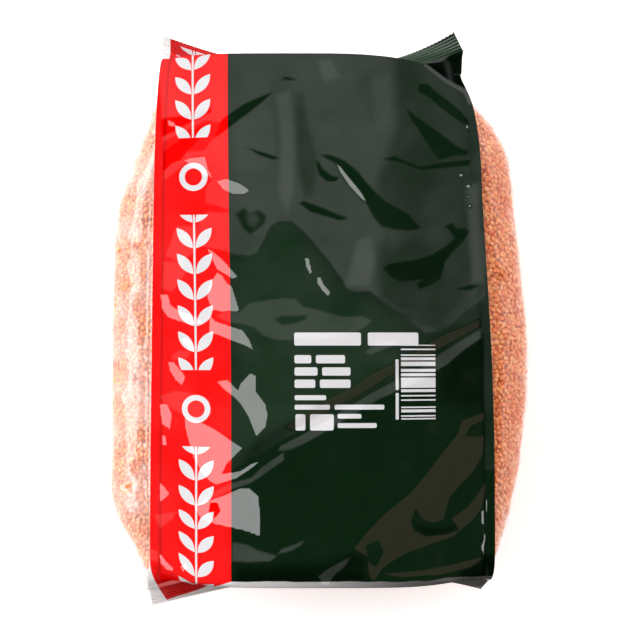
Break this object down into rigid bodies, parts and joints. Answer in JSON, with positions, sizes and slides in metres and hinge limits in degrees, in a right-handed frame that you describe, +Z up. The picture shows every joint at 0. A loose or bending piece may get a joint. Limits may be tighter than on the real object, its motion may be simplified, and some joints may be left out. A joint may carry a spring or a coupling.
{
  "type": "bag of lentils",
  "caption": "Side-gusset film bag filled with split red lentils, lying on its back, with sealed fins and crimped end seals.",
  "frame": {"origin": "centre of the bag's outer box, on the surface that it lies on", "axes": "+X to the right of the printed front, +Y to the top seal, +Z up, out of the printed front"},
  "size_m": [0.2762, 0.3785, 0.0861],
  "materials": {
    "printed_film": "glossy printed film, dark green with a red band",
    "clear_film": "clear glossy film",
    "lentils": "matt split red lentils"
  },
  "bodies": {
    "root": {"lentil_bag": "printed_film"}
  },
  "joints": []
}
